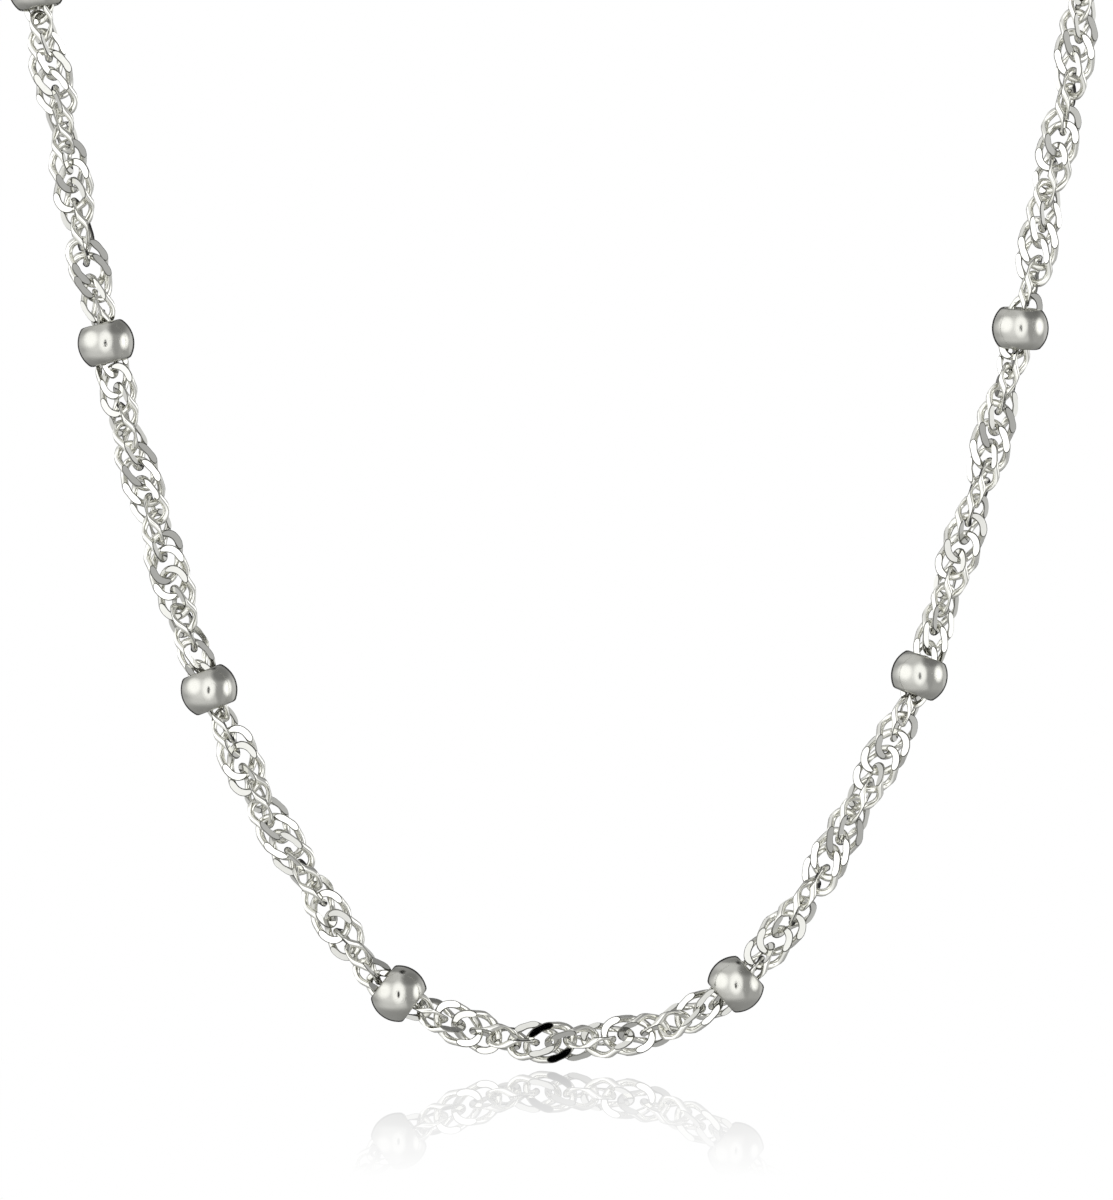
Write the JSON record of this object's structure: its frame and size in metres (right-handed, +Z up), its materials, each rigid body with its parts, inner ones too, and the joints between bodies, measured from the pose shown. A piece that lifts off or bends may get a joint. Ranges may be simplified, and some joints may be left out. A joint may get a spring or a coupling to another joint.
{
  "type": "singapore chain necklace with barrel beads",
  "caption": "Twisted silver neck chain, hanging as worn, with small hollow barrel beads set along it and a spring ring clasp at the back.",
  "frame": {"origin": "middle of the neck, on the neck's axis, level with the chain round the back of the neck", "axes": "+Z up, -Y towards the front where the chain hangs, +X to the right in a front view"},
  "size_m": [0.0774, 0.0583, 0.1522],
  "materials": {
    "chain": "bright silver wire links with mirror-flat cut faces",
    "beads": "polished silver, softly satin with fine wear",
    "clasp": "polished silver"
  },
  "bodies": {
    "root": {"chain_right": "chain", "chain_left": "chain", "clasp": "clasp", "catch_ring": "clasp", "jump_ring": "clasp", "bead_right_01": "beads", "bead_right_02": "beads", "bead_right_03": "beads", "bead_right_04": "beads", "bead_right_05": "beads", "bead_right_06": "beads", "bead_right_07": "beads", "bead_right_08": "beads", "bead_right_09": "beads", "bead_right_10": "beads", "bead_right_11": "beads", "bead_right_12": "beads", "bead_left_01": "beads", "bead_left_02": "beads", "bead_left_03": "beads", "bead_left_04": "beads", "bead_left_05": "beads", "bead_left_06": "beads", "bead_left_07": "beads", "bead_left_08": "beads", "bead_left_09": "beads", "bead_left_10": "beads", "bead_left_11": "beads", "bead_left_12": "beads"}
  },
  "joints": []
}
